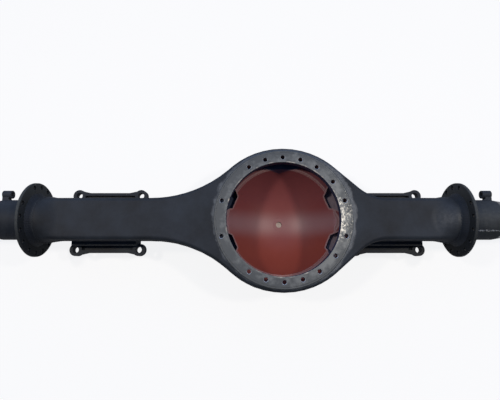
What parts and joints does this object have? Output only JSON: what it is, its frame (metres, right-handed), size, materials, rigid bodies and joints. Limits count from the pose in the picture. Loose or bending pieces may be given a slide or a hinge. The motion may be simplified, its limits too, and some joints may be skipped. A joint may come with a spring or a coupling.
{
  "type": "axle housing",
  "caption": "Welded banjo drive-axle housing: pressed box arms flare into a round open bowl with a drilled carrier ring, with flanged spindles and spring seats at the ends.",
  "frame": {"origin": "centre of the carrier bore, on the ground carrier face", "axes": "+X along the axle towards the shorter arm, +Y across the axle, +Z out of the bowl"},
  "size_m": [2.22, 0.495, 0.3165],
  "materials": {
    "black_paint": "satin black",
    "red_primer": "matt red oxide primer",
    "ground_steel": "ground, worn paint"
  },
  "bodies": {
    "root": {"upper_shell": "black_paint", "lower_shell": "black_paint", "front_seam_weld": "black_paint", "rear_seam_weld": "black_paint", "ring_weld": "black_paint", "dish_weld": "black_paint", "drain_bung": "black_paint", "front_left_gusset": "black_paint", "front_right_gusset": "black_paint", "rear_left_gusset": "black_paint", "rear_right_gusset": "black_paint", "left_spindle": "black_paint", "right_spindle": "black_paint", "left_brake_flange": "black_paint", "right_brake_flange": "black_paint", "left_neck_weld": "black_paint", "right_neck_weld": "black_paint", "left_spring_seat": "black_paint", "right_spring_seat": "black_paint", "left_sensor_holder": "black_paint", "right_sensor_holder": "black_paint", "bowl_dish": "red_primer", "carrier_ring": "ground_steel"}
  },
  "joints": []
}
